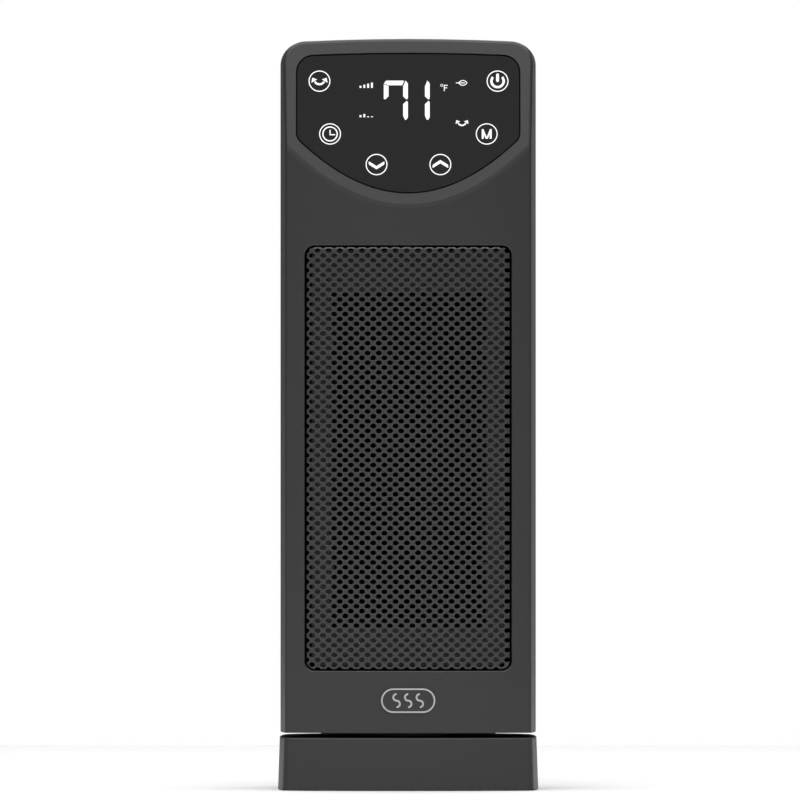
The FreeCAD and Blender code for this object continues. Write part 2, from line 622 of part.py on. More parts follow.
def fan_impeller():
    discs = [post(0, FAN_Y, FAN_Z0, FAN_Z0 + 2, FAN_R), post(0, FAN_Y, FAN_Z1 - 2, FAN_Z1, FAN_R)]
    hubs = [post(0, FAN_Y, FAN_Z0, FAN_Z0 + 9, 6.0), post(0, FAN_Y, FAN_Z1 - 9, FAN_Z1, 6.0)]
    stations = 4
    step = (FAN_Z1 - FAN_Z0) / stations
    rings = [ring(0, FAN_Y, FAN_Z0 + step * k - 0.75, FAN_Z0 + step * k + 0.75, FAN_R, 20.5)
             for k in range(1, stations)]
    blades = []
    for k in range(BLADES):
        blade = box(21.2, 27.6, -0.5, 0.5, FAN_Z0 + 1, FAN_Z1 - 1)
        blade.rotate(Vector(24.4, 0, 0), Vector(0, 0, 1), 34)
        blade.rotate(Vector(0, 0, 0), Vector(0, 0, 1), 360.0 * k / BLADES)
        blade.translate(Vector(0, FAN_Y, 0))
        blades.append(blade)
    wheel = fuse(discs[0], discs[1], *(hubs + rings + blades))
    save("fan_impeller", wheel.cut(post(0, FAN_Y, 100, 400, SHAFT_R)))
    save("impeller_shaft", post(0, FAN_Y, 112, 395, SHAFT_R))


def fan_drive():
    bush = fuse(post(0, FAN_Y, 110, 121.5, 5.0), post(0, FAN_Y, 110, FAN_Z0 - 7.5, 9.0))
    save("lower_bush", bush.cut(post(0, FAN_Y, 111.5, 130, SHAFT_R + RUN_FIT)))
    deck = FAN_Z1 + 7.5
    mounts = []
    spots = [(32 * math.cos(math.radians(a)), FAN_Y + 32 * math.sin(math.radians(a))) for a in (90, 210, 330)]
    for x, y in spots:
        mounts.append(ring(x, y, deck, deck + 4, 5.0, 2.0))
    save("motor_mounts", *mounts)
    flange = post(0, FAN_Y, deck + 4, deck + 5.5, 38.0)
    can = post(0, FAN_Y, deck + 4, deck + 36, 27.0)
    can = can.makeFillet(3.0, [edge for edge in can.Edges if edge.BoundBox.ZMin > deck + 35])
    motor = fuse(can, flange).cut(post(0, FAN_Y, deck, 396.0, SHAFT_R + RUN_FIT))
    save("fan_motor", motor)


# ---------------------------------------------------------------- electrics

def electrics():
    board = box(-60, 60, 30, 31.6, 414, 490)
    save("power_board", board)
    relays = [box(x, x + 16, 14, 30, 420, 434) for x in (-55, -35, -15)]
    transformer = box(12, 42, 6, 30, 420, 446)
    capacitor = post(-40, 22, 446, 470, 8.0)
    coil = ring(-10, 20, 452, 462, 10.0, 4.0)
    heat_sink = box(20, 50, 18, 30, 456, 480)
    grooves = [box(23 + 6 * k, 26 + 6 * k, 10, 27, 450, 490) for k in range(5)]
    heat_sink = heat_sink.cut(Part.makeCompound(grooves))
    save("power_components", *(relays + [transformer, capacitor, coil, heat_sink]))


def harness():
    """The lead that runs from the hollow pivot, up the side, to the power board."""
    route = [(0, 0, 28), (0, 0, 60), (34, 22, 78), (64, 44, 100), (68, 48, 150), (68, 48, 380),
             (62, 45, 412), (50, 38, 440)]
    points = [Vector(*p) for p in route]
    edges = []
    last = points[0]
    for before, corner, after in zip(points[:-2], points[1:-1], points[2:]):
        back = before - corner
        ahead = after - corner
        turn = math.pi - back.getAngle(ahead)
        reach = 0.45 * min(back.Length, ahead.Length)
        back.normalize()
        ahead.normalize()
        enter = corner + back * reach
        leave = corner + ahead * reach
        radius = reach / math.tan(turn / 2)
        inward = (back + ahead).normalize()
        middle = corner + inward * (radius / math.cos(turn / 2) - radius)
        edges.append(Part.LineSegment(last, enter).toShape())
        edges.append(Part.Arc(enter, middle, leave).toShape())
        last = leave
    edges.append(Part.LineSegment(last, points[-1]).toShape())
    path = Part.Wire(edges)
    circle = Part.Wire([Part.Circle(points[0], Vector(0, 0, 1), 3.0).toShape()])
    tube = path.makePipeShell([circle], True, True)
    print("harness volume against section x length", round(tube.Volume), round(math.pi * 9 * path.Length))
    save("tower_harness", tube)


# ---------------------------------------------------------------- build

os.makedirs("parts", exist_ok=True)
tower = tower_form(0, BODY_BOTTOM)
hollow = tower_form(WALL, BODY_BOTTOM - 5)
mid_wall = tower_form(WALL / 2, BODY_BOTTOM)
base_cover()
base_plate()
neck_bearings()
sector_gear()
drive_pinion()
oscillation_motor()
tip_switch()
base_wiring()
turntable()
tower_floor()
front_housing(tower, hollow, mid_wall, seam_groove(tower))
rear_housing(tower, hollow, mid_wall)
intake_grille(tower, hollow)
outlet_grille()
badge()
control_panel()
duct_frame()
heater()
heater_trim()
fan_scroll()
fan_impeller()
fan_drive()
electrics()
harness()
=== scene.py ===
"""Looks of an oscillating ceramic tower heater, laid out as a Blender add-on.

Every length in the settings is in metres, and the CAD frame gives where each piece goes. The control
face leans back: pieces that are printed on the lens are drawn flat, then laid on that face.
"""
import math
import bpy
from bpy.props import FloatProperty, FloatVectorProperty, IntProperty, PointerProperty
from bpy.types import Operator, Panel, PropertyGroup
from mathutils import Euler, Matrix, Vector


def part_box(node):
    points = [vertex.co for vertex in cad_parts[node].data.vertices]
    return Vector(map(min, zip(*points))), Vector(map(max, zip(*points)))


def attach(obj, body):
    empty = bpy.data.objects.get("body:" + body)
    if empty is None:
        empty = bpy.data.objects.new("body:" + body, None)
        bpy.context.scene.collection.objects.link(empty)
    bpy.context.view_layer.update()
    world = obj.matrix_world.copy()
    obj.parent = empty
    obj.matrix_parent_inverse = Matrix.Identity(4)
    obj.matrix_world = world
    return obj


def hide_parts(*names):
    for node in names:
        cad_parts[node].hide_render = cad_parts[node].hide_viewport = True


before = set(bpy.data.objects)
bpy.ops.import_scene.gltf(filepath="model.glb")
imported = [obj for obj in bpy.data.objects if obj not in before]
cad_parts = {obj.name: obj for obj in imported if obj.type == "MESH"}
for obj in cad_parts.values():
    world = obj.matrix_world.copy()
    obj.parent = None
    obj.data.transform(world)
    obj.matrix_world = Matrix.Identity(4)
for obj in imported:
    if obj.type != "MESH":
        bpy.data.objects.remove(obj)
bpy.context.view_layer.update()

bl_info = {
    "name": "Ceramic Tower Heater",
    "version": (1, 0, 0),
    "blender": (4, 5, 0),
    "location": "View3D > Sidebar > Heater",
    "description": "Models the visible pieces and finishes of an oscillating ceramic tower heater",
    "category": "Object",
}

MM = 0.001
FRONT_R = 0.430            # the front panel is part of an upright cylinder of this radius
TILT = math.radians(12)    # the control face leans back by this much
CREASE_Z = 0.4285          # lowest point of the crease under the control face
FRONT_Y = -0.089
LENS_SUNK = 0.0003
GRILLE_SUNK = 0.0005
PRINT_PROUD = 0.00006      # printed signs stand this far off the lens


def linear(hex_colour):
    """Turns an sRGB colour such as '#3d3d3d' into the linear values that shaders use."""
    parts = [int(hex_colour[k:k + 2], 16) / 255 for k in (1, 3, 5)]
    return tuple(c / 12.92 if c <= 0.04045 else ((c + 0.055) / 1.055) ** 2.4 for c in parts)


# ---------------------------------------------------------------- settings

class GrilleSizes(PropertyGroup):
    hole_width: FloatProperty(name="Hole width", description="Width of one hole", default=0.0043,
                              unit="LENGTH")
    hole_height: FloatProperty(name="Hole height", description="Height of one hole", default=0.0036,
                               unit="LENGTH")
    pitch: FloatProperty(name="Pitch", description="Distance between holes in a row", default=0.00822,
                         unit="LENGTH")
    row_step: FloatProperty(name="Row step", description="Distance from a row to the staggered row under it",
                            default=0.00357, unit="LENGTH")
    columns: IntProperty(name="Columns", description="Holes in a full row", default=20, min=2)
    rows: IntProperty(name="Rows", description="Pairs of staggered rows", default=45, min=2)
    middle: FloatProperty(name="Middle", description="Where the lattice has its middle, across the front",
                          default=-0.001, unit="LENGTH")
    top_row: FloatProperty(name="Top row", description="Height of the lattice's top row", default=0.3959,
                           unit="LENGTH")
    thickness: FloatProperty(name="Thickness", description="Thickness of the sheet", default=0.0014,
                             unit="LENGTH")
    corner: FloatProperty(name="Corner", description="Radius of the sheet's corners", default=0.006,
                          unit="LENGTH")
    rim_width: FloatProperty(name="Rim width", description="Width of the slope round the sheet's edge",
                             default=0.0011, unit="LENGTH")
    rim_depth: FloatProperty(name="Rim depth", description="How far that slope falls back", default=0.0005,
                             unit="LENGTH")
    hole_round: FloatProperty(name="Hole rounding", description="Rounding at the mouth of a hole",
                              default=0.00022, unit="LENGTH")


class SignSizes(PropertyGroup):
    ring_radius: FloatProperty(name="Ring radius", description="Outer radius of a key's ring", default=0.0080,
                               unit="LENGTH")
    line: FloatProperty(name="Line", description="Width of the thin printed lines", default=0.00075,
                        unit="LENGTH")
    stroke: FloatProperty(name="Stroke", description="Width of the chevrons", default=0.0021, unit="LENGTH")
    digit_height: FloatProperty(name="Digit height", description="Height of a lit digit", default=0.0294,
                                unit="LENGTH")
    digit_stroke: FloatProperty(name="Digit stroke", description="Width of a lit segment", default=0.0035,
                                unit="LENGTH")


class FinishColours(PropertyGroup):
    housing: FloatVectorProperty(name="Housing", description="Moulded ABS of the case", size=3,
                                 default=linear("#29292a"), subtype="COLOR", min=0, max=1)
    lens: FloatVectorProperty(name="Lens", description="Smoked acrylic of the control lens", size=3,
                              default=linear("#2a2a2b"), subtype="COLOR", min=0, max=1)
    sign: FloatVectorProperty(name="Sign", description="Lit signs and digits", size=3,
                              default=linear("#ffffff"), subtype="COLOR", min=0, max=1)
    inner: FloatVectorProperty(name="Inner plastic", description="Heat resistant plastic inside the case",
                               size=3, default=linear("#262627"), subtype="COLOR", min=0, max=1)


class StudioSizes(PropertyGroup):
    camera_distance: FloatProperty(name="Camera distance", description="From the front panel to the camera",
                                   default=12.0, unit="LENGTH")
    view_width: FloatProperty(name="View width", description="Width taken in at the front panel",
                              default=0.5862, unit="LENGTH")
    camera_x: FloatProperty(name="Camera X", description="How far the camera stands to the side",
                            default=-0.0060, unit="LENGTH")
    camera_z: FloatProperty(name="Camera Z", description="Height of the camera", default=0.2865,
                            unit="LENGTH")


# ---------------------------------------------------------------- materials

def add_node(tree, kind, inputs=None, **settings):
    """Adds a node, sets its properties, and sets or links its inputs."""
    node = tree.nodes.new(kind)
    for key, value in settings.items():
        setattr(node, key, value)
    for key, value in (inputs or {}).items():
        if isinstance(value, bpy.types.NodeSocket):
            tree.links.new(value, node.inputs[key])
        else:
            node.inputs[key].default_value = value
    return node


def start_material(name):
    """An empty material with its Principled shader and object coordinates."""
    material = bpy.data.materials.new(name)
    material.use_nodes = True
    tree = material.node_tree
    tree.nodes.clear()
    shader = add_node(tree, "ShaderNodeBsdfPrincipled")
    add_node(tree, "ShaderNodeOutputMaterial", {"Surface": shader.outputs["BSDF"]})
    place = add_node(tree, "ShaderNodeTexCoord").outputs["Object"]
    return material, tree, shader, place


def mix_colours(tree, factor, first, second):
    """Colour between two linear colours, by a factor socket."""
    mix = add_node(tree, "ShaderNodeMix", data_type="RGBA")
    tree.links.new(factor, mix.inputs["Factor"])
    mix.inputs["A"].default_value = (*first, 1)
    mix.inputs["B"].default_value = (*second, 1)
    return mix.outputs["Result"]


def scaled(colour, factor):
    return tuple(min(1.0, c * factor) for c in colour)


def moulded_plastic(name, colour, roughness, grain=0.0009, depth=0.00003, variation=0.06, reflection=0.5):
    """Injection-moulded plastic with a spark-eroded texture: a fine, even pebble in the mould.

    The real pebble is about 0.15 mm across; it is drawn at the grain size so that it shows.
    """
    material, tree, shader, place = start_material(name)
    pebble = add_node(tree, "ShaderNodeTexNoise", {"Vector": place, "Scale": 1 / grain, "Detail": 3.0,
                                                   "Roughness": 0.6})
    flow = add_node(tree, "ShaderNodeTexNoise", {"Vector": place, "Scale": 14.0, "Detail": 3.0})
    tone = mix_colours(tree, flow.outputs["Fac"], scaled(colour, 1 - variation),
                       scaled(colour, 1 + variation))
    tree.links.new(tone, shader.inputs["Base Color"])
    gloss = add_node(tree, "ShaderNodeMapRange", {"Value": pebble.outputs["Fac"], "To Min": roughness - 0.05,
                                                  "To Max": roughness + 0.05})
    tree.links.new(gloss.outputs["Result"], shader.inputs["Roughness"])
    bump = add_node(tree, "ShaderNodeBump", {"Height": pebble.outputs["Fac"], "Distance": depth,
                                             "Strength": 0.6})
    tree.links.new(bump.outputs["Normal"], shader.inputs["Normal"])
    shader.inputs["IOR"].default_value = 1.52
    shader.inputs["Specular IOR Level"].default_value = reflection
    return material


def polished_acrylic(name, colour):
    """Smoked cast acrylic, diamond polished: near black, mirror smooth, with faint dust-fine scratches."""
    material, tree, shader, place = start_material(name)
    haze = add_node(tree, "ShaderNodeTexNoise", {"Vector": place, "Scale": 60.0, "Detail": 4.0})
    tone = mix_colours(tree, haze.outputs["Fac"], scaled(colour, 0.97), scaled(colour, 1.03))
    tree.links.new(tone, shader.inputs["Base Color"])
    gloss = add_node(tree, "ShaderNodeMapRange", {"Value": haze.outputs["Fac"], "To Min": 0.05,
                                                  "To Max": 0.08})
    tree.links.new(gloss.outputs["Result"], shader.inputs["Roughness"])
    shader.inputs["IOR"].default_value = 1.49
    return material


def lit_sign(name, colour, strength):
    """White backlit print: opal diffuser ink, lit from behind, with a very slight unevenness."""
    material, tree, shader, place = start_material(name)
    glow = add_node(tree, "ShaderNodeTexNoise", {"Vector": place, "Scale": 120.0, "Detail": 2.0})
    tone = mix_colours(tree, glow.outputs["Fac"], scaled(colour, 0.97), colour)
    tree.links.new(tone, shader.inputs["Emission Color"])
    shader.inputs["Base Color"].default_value = (0.2, 0.2, 0.2, 1)
    shader.inputs["Emission Strength"].default_value = strength
    shader.inputs["Roughness"].default_value = 0.5
    return material


def metal(name, colour, roughness):
    """Plated steel, also darkened as painted shade for the heater clips: a fine even grain, about 1 mm
    across, that breaks up its shine.
    """
    material, tree, shader, place = start_material(name)
    grain = add_node(tree, "ShaderNodeTexNoise", {"Vector": place, "Scale": 900.0, "Detail": 4.0})
    tone = mix_colours(tree, grain.outputs["Fac"], scaled(colour, 0.86), scaled(colour, 1.06))
    tree.links.new(tone, shader.inputs["Base Color"])
    gloss = add_node(tree, "ShaderNodeMapRange", {"Value": grain.outputs["Fac"], "To Min": roughness - 0.08,
                                                  "To Max": roughness + 0.08})
    tree.links.new(gloss.outputs["Result"], shader.inputs["Roughness"])
    bump = add_node(tree, "ShaderNodeBump", {"Height": grain.outputs["Fac"], "Distance": 0.000008})
    tree.links.new(bump.outputs["Normal"], shader.inputs["Normal"])
    shader.inputs["Metallic"].default_value = 1.0
    return material


def woven_mesh(name, colour, pitch=0.0011):
    """Nylon filter mesh, plain woven, with fine square openings drawn as a relief; the openings are also
    darkened, painted shade for the inside seen through them.
    """
    material, tree, shader, place = start_material(name)
    threads = {"Vector": place, "Scale": 0.05 / pitch}
    across = add_node(tree, "ShaderNodeTexWave", threads, bands_direction="X")
    along = add_node(tree, "ShaderNodeTexWave", threads, bands_direction="Z")
    weave = add_node(tree, "ShaderNodeMath", {0: across.outputs["Fac"], 1: along.outputs["Fac"]},
                     operation="MAXIMUM")
    # Painted shade: the openings between the threads are darkened for the inside seen through them
    tone = mix_colours(tree, weave.outputs["Value"], scaled(colour, 0.25), scaled(colour, 1.3))
    tree.links.new(tone, shader.inputs["Base Color"])
    bump = add_node(tree, "ShaderNodeBump", {"Height": weave.outputs["Value"], "Distance": 0.0002})
    tree.links.new(bump.outputs["Normal"], shader.inputs["Normal"])
    shader.inputs["Roughness"].default_value = 0.7
    return material


def circuit_laminate(name):
    """Glass-epoxy board under green solder resist, with darker copper lands showing through."""
    material, tree, shader, place = start_material(name)
    lands = add_node(tree, "ShaderNodeTexBrick", {"Vector": place, "Scale": 90.0, "Mortar Size": 0.03,
                                                  "Color1": (*linear("#14532f"), 1),
                                                  "Color2": (*linear("#0f4526"), 1),
                                                  "Mortar": (*linear("#1d6b3c"), 1)})
    tree.links.new(lands.outputs["Color"], shader.inputs["Base Color"])
    shader.inputs["Roughness"].default_value = 0.35
    return material


def make_materials(colours):
    """Every finish of the heater, by the name that the pieces ask for."""
    housing = tuple(colours.housing)
    inner = tuple(colours.inner)
    return {
        # Moulded case and grille: satin charcoal; the grille is the case plastic made a shade lighter, a
        # painted sheen for the light its narrow webs catch, and finer in grain
        "abs_housing": moulded_plastic("moulded_abs_satin", housing, 0.45),
        "abs_grille": moulded_plastic("moulded_abs_grille", scaled(housing, 1.25), 0.42, grain=0.0006),
        # Inner mouldings: matt; round the outlet a lighter copy of the same plastic, painted light for the
        # light that reaches it through the grille; in the heater itself near black with little shine, painted
        # shade for the dark inside the heater
        "pbt_inner": moulded_plastic("moulded_pbt_black", inner, 0.6, grain=0.0012),
        # Painted light: the outlet surround is the inner plastic made 2.2 times lighter, for the light that
        # reaches it through the grille
        "pbt_surround_painted_light": moulded_plastic("moulded_pbt_surround", scaled(inner, 2.2), 0.55),
        # Painted shade: the heater frame, fins and ceramic are near black with little shine, for the dark
        # inside the heater; the frame is black plastic besides
        "pps_black_and_shade": moulded_plastic("moulded_pps_black", linear("#050505"), 0.75, reflection=0.2),
        "fins": moulded_plastic("fins_black_painted_shade", linear("#030303"), 0.8, reflection=0.12),
        "ceramic": moulded_plastic("ptc_ceramic_black_painted_shade", linear("#040404"), 0.8, grain=0.0015,
                                   reflection=0.12),
        # Small parts: waxy white acetal and dull rubber, glossier cable and component cases; the near-black
        # strip in the lens joint is painted shade
        "acetal": moulded_plastic("moulded_acetal_white", linear("#d8d6cf"), 0.38, grain=0.002,
                                  variation=0.02),
        "rubber": moulded_plastic("moulded_rubber", linear("#1c1c1c"), 0.8, grain=0.0007, depth=0.00006),
        "joint_shade_black": moulded_plastic("lens_joint_painted_shade", linear("#080808"), 0.9, grain=0.0008, reflection=0.1),
        "component": moulded_plastic("component_case", linear("#2d3f5e"), 0.35, grain=0.002),
        "cable": moulded_plastic("pvc_cable", linear("#222222"), 0.45, grain=0.003),
        # Lens and prints: a dark mirror, white light, and the soft silver of screen ink
        "acrylic": polished_acrylic("smoked_acrylic", tuple(colours.lens)),
        "sign": lit_sign("backlit_ink", tuple(colours.sign), 0.9),
        "silver_ink": moulded_plastic("silver_screen_ink", linear("#b4b4b4"), 0.45, grain=0.002,
                                      variation=0.02),
        # Metals, filter and boards
        "zinc": metal("zinc_plated_steel", linear("#9c9da0"), 0.38),
        # Painted shade: the heater clips are zinc-plated steel made dark grey, for the dark inside the heater
        # where they sit
        "clip_steel_painted_shade": metal("zinc_steel_painted_shade", linear("#4c4d50"), 0.42),
        "filter": woven_mesh("nylon_filter_mesh", linear("#4a4b4e")),
        "board": circuit_laminate("glass_epoxy_board"),
    }


# ---------------------------------------------------------------- modelling helpers

def deselect():
    if bpy.context.object and bpy.context.object.mode != "OBJECT":
        bpy.ops.object.mode_set(mode="OBJECT")
    bpy.ops.object.select_all(action="DESELECT")


def pick(*pieces):
    """Selects these objects alone, the first one active."""
    deselect()
    for piece in pieces:
        piece.select_set(True)
    bpy.context.view_layer.objects.active = pieces[0]


def named(name):
    piece = bpy.context.object
    piece.name = name
    piece.data.name = name
    return piece


def duplicate(piece):
    """A copy of a piece, with its own mesh."""
    copy = piece.copy()
    copy.data = piece.data.copy()
    bpy.context.scene.collection.objects.link(copy)
    return copy


def join(name, pieces):
    pick(*pieces)
    if len(pieces) > 1:
        bpy.ops.object.join()
    return named(name)


def apply_place(piece):
    """Puts the object's place into its mesh, so that it sits at the origin."""
    pick(piece)
    bpy.ops.object.transform_apply(location=True, rotation=True, scale=True)


def extent(piece):
    """Lowest and highest corner of a piece's mesh."""
    axes = list(zip(*(vertex.co for vertex in piece.data.vertices)))
    return Vector([min(axis) for axis in axes]), Vector([max(axis) for axis in axes])


def apply_modifier(piece, kind, **settings):
    pick(piece)
    modifier = piece.modifiers.new(kind.lower(), kind)
    for key, value in settings.items():
        setattr(modifier, key, value)
    bpy.ops.object.modifier_apply(modifier=modifier.name)


def tidy_mesh(piece, gap=0.00002, smooth=math.radians(35)):
    """Merges doubles, turns the faces outwards and smooths the shading."""
    pick(piece)
    bpy.ops.object.mode_set(mode="EDIT")
    bpy.ops.mesh.select_all(action="SELECT")
    bpy.ops.mesh.remove_doubles(threshold=gap)
    bpy.ops.mesh.normals_make_consistent(inside=False)
    bpy.ops.object.mode_set(mode="OBJECT")
    bpy.ops.object.shade_smooth_by_angle(angle=smooth)


def finish(piece, body, material, replaces=()):
    """Gives a piece its material and says what it rides on and stands for."""
    piece.data.materials.clear()
    piece.data.materials.append(material)
    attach(piece, body)
    if replaces:
        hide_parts(*replaces)


def lean_back():
    """From a drawing in X and Z to the control face."""
    return Matrix.Translation((0, FRONT_Y, CREASE_Z)) @ Euler((-TILT, 0, 0)).to_matrix().to_4x4()


def lay_on_control_face(piece, depth):
    """Leans a flat drawing back and puts it on the control face, at a depth behind it."""
    apply_place(piece)
    piece.matrix_world = lean_back() @ Matrix.Translation((0, depth, 0))
    apply_place(piece)


def bend_to_front(piece, radius, front_y):
    """Bends a flat piece, whose front is at Y = 0, round the upright axis of the front panel."""
    apply_place(piece)
    apply_modifier(piece, "SIMPLE_DEFORM", deform_method="BEND", deform_axis="Z",
                   angle=piece.dimensions.x / radius)
    piece.location.y = front_y
    apply_place(piece)


# ---------------------------------------------------------------- flat drawing, in X and Z

def edit(piece, mode="VERT", select="SELECT"):
    """Enters edit mode on this piece alone, with everything or nothing selected."""
    pick(piece)
    bpy.ops.object.mode_set(mode="EDIT")
    bpy.ops.mesh.select_mode(type=mode)
    bpy.ops.mesh.select_all(action=select)


def select_points(piece, wanted):
    """Edits a piece with just those vertices selected for which wanted(co) holds."""
    edit(piece, select="DESELECT")
    bpy.ops.object.mode_set(mode="OBJECT")
    for vertex in piece.data.vertices:
        vertex.select = wanted(vertex.co)
    bpy.ops.object.mode_set(mode="EDIT")


def edge_direction(piece, edge):
    first, second = (piece.data.vertices[k].co for k in edge.vertices)
    return (second - first).normalized()


def select_edges(piece, indices):
    """Selects these edges alone, ready for edit mode."""
    pick(piece)
    bpy.ops.object.mode_set(mode="EDIT")
    bpy.ops.mesh.select_mode(type="EDGE")
    bpy.ops.mesh.select_all(action="DESELECT")
    bpy.ops.object.mode_set(mode="OBJECT")
    for index in indices:
        piece.data.edges[index].select = True


def bar(u0, v0, u1, v1, width, ends="square"):
    """A flat stroke from one point to another, with square or round ends."""
    bpy.ops.mesh.primitive_plane_add(size=1, location=(0, 0, 0), rotation=(math.pi / 2, 0, 0))
    stroke = bpy.context.object
    stroke.scale = (math.hypot(u1 - u0, v1 - v0), width, 1)
    apply_place(stroke)
    if ends == "round":
        edit(stroke)
        bpy.ops.mesh.bevel(offset=width * 0.49, affect="VERTICES", segments=5)
        bpy.ops.object.mode_set(mode="OBJECT")
    stroke.rotation_euler = (0, -math.atan2(v1 - v0, u1 - u0), 0)
    stroke.location = ((u0 + u1) / 2, 0, (v0 + v1) / 2)
    apply_place(stroke)
    return stroke


def arc(u, v, radius, width, start, sweep, steps=32):
    """A flat arc of a ring, from a start angle through a sweep, both in degrees."""
    begin = math.radians(start)
    inner, outer = radius - width / 2, radius + width / 2
    band = bar(u + inner * math.cos(begin), v + inner * math.sin(begin),
               u + outer * math.cos(begin), v + outer * math.sin(begin), 0.0000001)
    edit(band)
    bpy.ops.mesh.remove_doubles(threshold=0.000001)
    bpy.ops.mesh.select_all(action="SELECT")
    bpy.ops.mesh.spin(steps=steps, angle=math.radians(sweep), center=(u, 0, v), axis=(0, 1, 0))
    if abs(sweep) == 360:
        bpy.ops.mesh.select_all(action="SELECT")
        bpy.ops.mesh.remove_doubles(threshold=0.000001)
    bpy.ops.object.mode_set(mode="OBJECT")
    return band


def ring(u, v, outer, line):
    return arc(u, v, outer - line / 2, line, 0, 360, steps=72)


def trim(piece, first, last, keep):
    """Cuts a flat drawing along the line through two points and leaves the side of the point keep."""
    normal = Vector((first[1] - last[1], 0, last[0] - first[0])).normalized()
    if normal.dot(Vector((keep[0] - first[0], 0, keep[1] - first[1]))) > 0:
        normal = -normal
    edit(piece)
    bpy.ops.mesh.bisect(plane_co=(first[0], 0, first[1]), plane_no=normal, clear_outer=True,
                        threshold=0.000001)
    bpy.ops.object.mode_set(mode="OBJECT")


def arrow_head(u, v, heading, height, base):
    """A flat triangle about its middle, pointing along a heading in degrees."""
    bpy.ops.mesh.primitive_circle_add(vertices=3, radius=height / 1.5, fill_type="NGON",
                                      rotation=(math.pi / 2, 0, 0))
    head = bpy.context.object
    apply_place(head)
    head.scale = (base / (height / 1.5 * math.sqrt(3)), 1, 1)
    apply_place(head)
    low, high = extent(head)
    half_turn = 180 if high.z < height * 0.6 else 0      # the circle's one corner may point down
    head.rotation_euler = (0, math.radians(90 - heading + half_turn), 0)
    head.location = (u, 0, v)
    apply_place(head)
    return head


def chevron(u, v, half, rise, width):
    """A rounded chevron as one strip; its ends stand above its point by rise (below, if negative)."""
    slope = math.atan2(abs(rise), half)
    bpy.ops.mesh.primitive_plane_add(size=1, rotation=(math.pi / 2, 0, 0))
    strip = bpy.context.object
    strip.scale = (half, width / math.cos(slope), 1)
    strip.location = (u - half / 2, 0, v + rise)
    apply_place(strip)
    select_points(strip, lambda co: co.x > u - half / 2)
    bpy.ops.transform.translate(value=(0, 0, -rise))
    bpy.ops.object.mode_set(mode="OBJECT")
    middle = [edge.index for edge in strip.data.edges
              if all(strip.data.vertices[k].co.x > u - half / 2 for k in edge.vertices)]
    select_edges(strip, middle)
    bpy.ops.object.mode_set(mode="EDIT")
    bpy.ops.mesh.extrude_edges_move(TRANSFORM_OT_translate={"value": (half, 0, rise)})
    bpy.ops.object.mode_set(mode="OBJECT")
    select_points(strip, lambda co: abs(co.x - u) > half / 2)
    bpy.ops.mesh.bevel(offset=width * 0.42, affect="VERTICES", segments=4)
    bpy.ops.object.mode_set(mode="OBJECT")
    return strip


def swing_arrows(u, v, size):
    """An arc with an arrow head at each end, open to the top; size 1 fits a key's ring."""
    mm = MM * size
    parts = [arc(u, v + 1.5 * mm, 3.9 * mm, 1.45 * mm, 208, 124)]
    for side in (-1, 1):
        parts.append(arrow_head(u + side * 4.3 * mm, v + 0.9 * mm, 90 - side * 30, 2.9 * mm, 4.9 * mm))
    return parts


def face_toward_front(piece):
    """Merges doubles in a flat drawing and turns all its faces towards -Y."""
    edit(piece)
    bpy.ops.mesh.remove_doubles(threshold=0.000002)
    bpy.ops.mesh.select_mode(type="FACE")
    bpy.ops.mesh.select_all(action="DESELECT")
    bpy.ops.object.mode_set(mode="OBJECT")
    for face in piece.data.polygons:
        face.select = face.normal.y > 0
    bpy.ops.object.mode_set(mode="EDIT")
    bpy.ops.mesh.flip_normals()
    bpy.ops.mesh.select_mode(type="VERT")
    bpy.ops.object.mode_set(mode="OBJECT")


def raise_drawing(name, strokes, thickness):
    """Joins flat strokes and gives them a thickness, out of the drawing."""
    piece = join(name, strokes)
    face_toward_front(piece)
    apply_modifier(piece, "SOLIDIFY", thickness=thickness, offset=1.0)
    tidy_mesh(piece, gap=0.000001)
    return piece


def print_on_lens(name, strokes):
    """A raised drawing laid on the lens."""
    piece = raise_drawing(name, strokes, 2 * PRINT_PROUD)
    lay_on_control_face(piece, LENS_SUNK + PRINT_PROUD)
    finish(piece, "tower", MATERIALS["sign"])


def up_face(z):
    """How far up the control face a height lies."""
    return (z - CREASE_Z) / math.cos(TILT)


# ---------------------------------------------------------------- pieces

MATERIALS = {}

CAD_FINISHES = {
    "abs_housing": ("base_cover", "front_housing", "rear_housing", "intake_grille", "badge"),
    "pbt_inner": ("base_plate", "turntable", "tower_floor", "tip_switch", "fan_scroll", "fan_impeller"),
    # Painted light: the outlet surround is a lighter copy of the inner plastic
    "pbt_surround_painted_light": ("duct_frame",),
    # Painted shade: the heater frame is near black for the dark inside the heater, besides being black
    # plastic
    "pps_black_and_shade": ("heater_frame",),
    "acrylic": ("control_lens",),
    "acetal": ("pivot_bush", "slide_ring", "terminal_block", "drive_pinion", "tip_plunger", "sector_gear",
               "room_sensor", "lower_bush"),
    "rubber": ("rubber_feet", "cord_gland", "touch_pads", "motor_mounts"),
    "zinc": ("base_screws", "oscillation_motor", "motor_screws", "motor_shaft", "pivot_circlip",
             "floor_screws", "housing_screws", "thermal_cutoff", "fan_motor", "impeller_shaft"),
    # Painted shade: the heater clips are darkened zinc-plated steel
    "clip_steel_painted_shade": ("heater_clips",),
    "component": ("display_module", "power_components"),
    "board": ("display_board", "power_board"),
    # Painted shade: near-black fins and ceramic stand for the dark inside the heater
    "fins": ("heater_fins",),
    "ceramic": ("ptc_elements",),
    "cable": ("tower_harness",),
    "filter": ("air_filter",),
}


class HEATER_OT_finish_cad(Operator):
    """Give every CAD part its finish"""
    bl_idname = "heater.finish_cad"
    bl_label = "Finish CAD parts"

    def execute(self, context):
        MATERIALS.update(make_materials(context.scene.heater_colours))
        for finish_name, nodes in CAD_FINISHES.items():
            for node in nodes:
                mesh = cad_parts[node].data
                mesh.materials.clear()
                mesh.materials.append(MATERIALS[finish_name])
        return {"FINISHED"}


